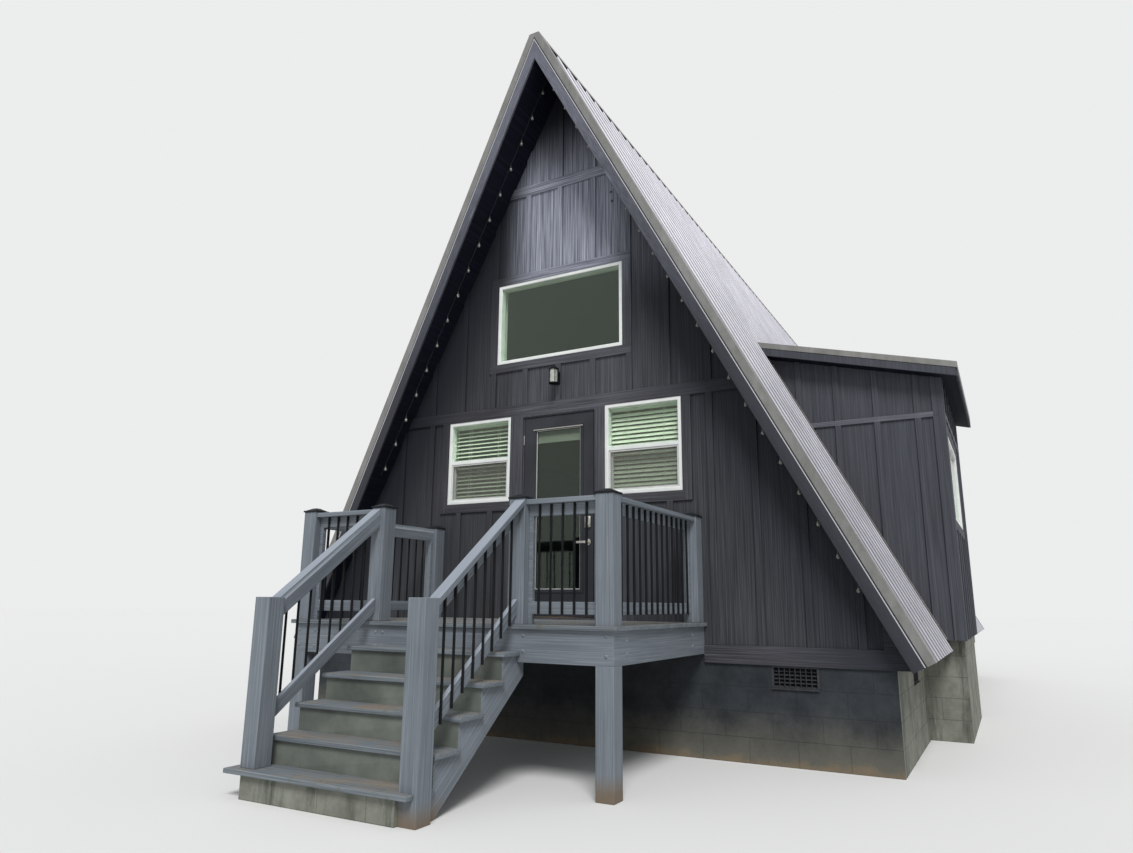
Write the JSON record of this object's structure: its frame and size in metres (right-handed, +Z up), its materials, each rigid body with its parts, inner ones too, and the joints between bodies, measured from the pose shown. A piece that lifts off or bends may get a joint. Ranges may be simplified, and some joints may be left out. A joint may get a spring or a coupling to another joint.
{
  "type": "a-frame cabin",
  "caption": "Small dark timber A-frame cabin with a ribbed metal roof, a shed dormer, a glazed front door, a railed front deck and a wooden stair.",
  "frame": {"origin": "on the lowest ground under the house's centre line, in the middle of the front wall's thickness", "axes": "+Z up, +Y from the front wall into the house, +X to the right as seen from the front"},
  "size_m": [7.0819, 14.6124, 7.345],
  "materials": {
    "concrete": "weathered concrete and block, painted black at the front",
    "dark_metal": "matte black coating",
    "floor_wood": "plain boards",
    "black_siding": "textured boards with black paint",
    "soffit_wood": "black painted boards",
    "roof_metal": "satin grey ribbed sheet",
    "rake_metal": "satin grey flashing",
    "white_vinyl": "white vinyl",
    "window_glass": "clear",
    "lining_white": "white paint",
    "blind_white": "off-white slats",
    "door_paint": "semi-gloss black",
    "lock_metal": "satin nickel",
    "screen_grey": "grey coated frame",
    "light_cord": "black cord and sockets",
    "bulb_glass": "clear bulbs",
    "lantern_glass": "seeded glass",
    "grey_wood": "blue-grey solid stain",
    "deck_wood": "worn blue-grey stain"
  },
  "bodies": {
    "house": {"foundation": "concrete", "foundation_vents": "dark_metal", "floor": "floor_wood", "loft_floor": "floor_wood", "front_wall_left": "black_siding", "front_wall_right": "black_siding", "front_wall_gable": "black_siding", "rear_wall": "black_siding", "roof_left": "soffit_wood", "roof_right": "soffit_wood", "roof_metal_left": "roof_metal", "roof_metal_right": "roof_metal", "ridge_cap": "rake_metal", "rake_metal": "rake_metal", "rake_boards": "black_siding", "gable_trim": "black_siding", "gable_battens": "black_siding", "lower_windows": "white_vinyl", "upper_window": "white_vinyl", "dormer_window": "white_vinyl", "lower_glass": "window_glass", "upper_glass": "window_glass", "dormer_glass": "window_glass", "screen_frames": "screen_grey", "window_linings": "lining_white", "window_blinds": "blind_white", "door_frame": "black_siding", "door_hinges": "dark_metal", "lantern": "dark_metal", "lantern_glass": "lantern_glass", "light_string": "light_cord", "light_bulbs": "bulb_glass", "dormer_walls": "black_siding", "dormer_floor": "concrete", "dormer_roof": "soffit_wood", "dormer_metal": "roof_metal", "dormer_trim": "black_siding", "dormer_flashing": "rake_metal", "deck_frame": "grey_wood", "deck_boards": "deck_wood", "deck_posts": "grey_wood", "post_caps": "black_siding", "rail_front_left": "grey_wood", "rail_front_right": "grey_wood", "rail_side_left": "grey_wood", "rail_side_right": "grey_wood", "rail_stair_left": "grey_wood", "rail_stair_right": "grey_wood", "balusters": "dark_metal", "stair_frame": "grey_wood", "stair_treads": "deck_wood", "stair_posts": "grey_wood", "stair_footing": "concrete"},
    "door": {"door_leaf": "door_paint", "hinge_leaves": "dark_metal", "door_glass": "window_glass", "door_drip": "lock_metal", "door_handle": "lock_metal"}
  },
  "joints": [
    {"name": "door_hinge", "type": "hinge", "parent": "house", "child": "door", "pos_m": [-0.39, -0.076, 2.176], "axis": [0, 0, -1], "range_deg": [0, 105]}
  ]
}
